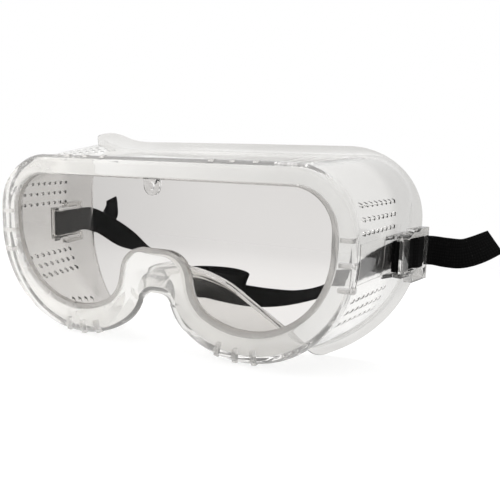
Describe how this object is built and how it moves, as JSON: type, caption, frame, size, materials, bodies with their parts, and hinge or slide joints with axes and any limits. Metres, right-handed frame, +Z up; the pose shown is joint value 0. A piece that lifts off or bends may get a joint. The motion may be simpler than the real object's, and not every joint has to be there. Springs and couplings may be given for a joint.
{
  "type": "safety goggles",
  "caption": "Clear perforated splash goggles with a one-piece soft frame, a flat lens and a black elastic headband threaded through side lugs.",
  "frame": {"origin": "centre of the front face of the lens, on the symmetry plane", "axes": "+X to the viewer's right across the width, +Y back towards the wearer's face, +Z up, with the goggles standing on a table so that the lens leans forward by 9.4 degrees"},
  "size_m": [0.2201, 0.1081, 0.0895],
  "materials": {
    "clear_pvc": "soft clear moulded vinyl, glossy",
    "clear_lens": "polished clear polycarbonate sheet",
    "webbing": "woven black elastic"
  },
  "bodies": {
    "frame": {"front_bezel": "clear_pvc", "vent_wall": "clear_pvc", "face_flange": "clear_pvc", "lens_tab": "clear_pvc", "lens": "clear_lens", "strap_lug_left": "clear_pvc", "strap_lug_right": "clear_pvc", "strap_loop_left": "webbing", "strap_loop_right": "webbing"},
    "headband": {"headband": "webbing"},
    "tail_left": {"strap_tail_left": "webbing"},
    "tail_right": {"strap_tail_right": "webbing"}
  },
  "joints": [
    {"name": "headband_swing", "type": "hinge", "parent": "frame", "child": "headband", "pos_m": [0, 0.06229, 0.01437], "axis": [1, 0, 0], "range_deg": [0, 45]},
    {"name": "tail_left_swing", "type": "hinge", "parent": "frame", "child": "tail_left", "pos_m": [-0.09155, 0.05884, 0.01379], "axis": [0, 0.1633, -0.9866], "range_deg": [-50, 4], "stiffness_Nm_per_rad": 0.001},
    {"name": "tail_right_swing", "type": "hinge", "parent": "frame", "child": "tail_right", "pos_m": [0.09155, 0.05884, 0.01379], "axis": [0, -0.1633, 0.9866], "range_deg": [-15, 50], "stiffness_Nm_per_rad": 0.001}
  ]
}
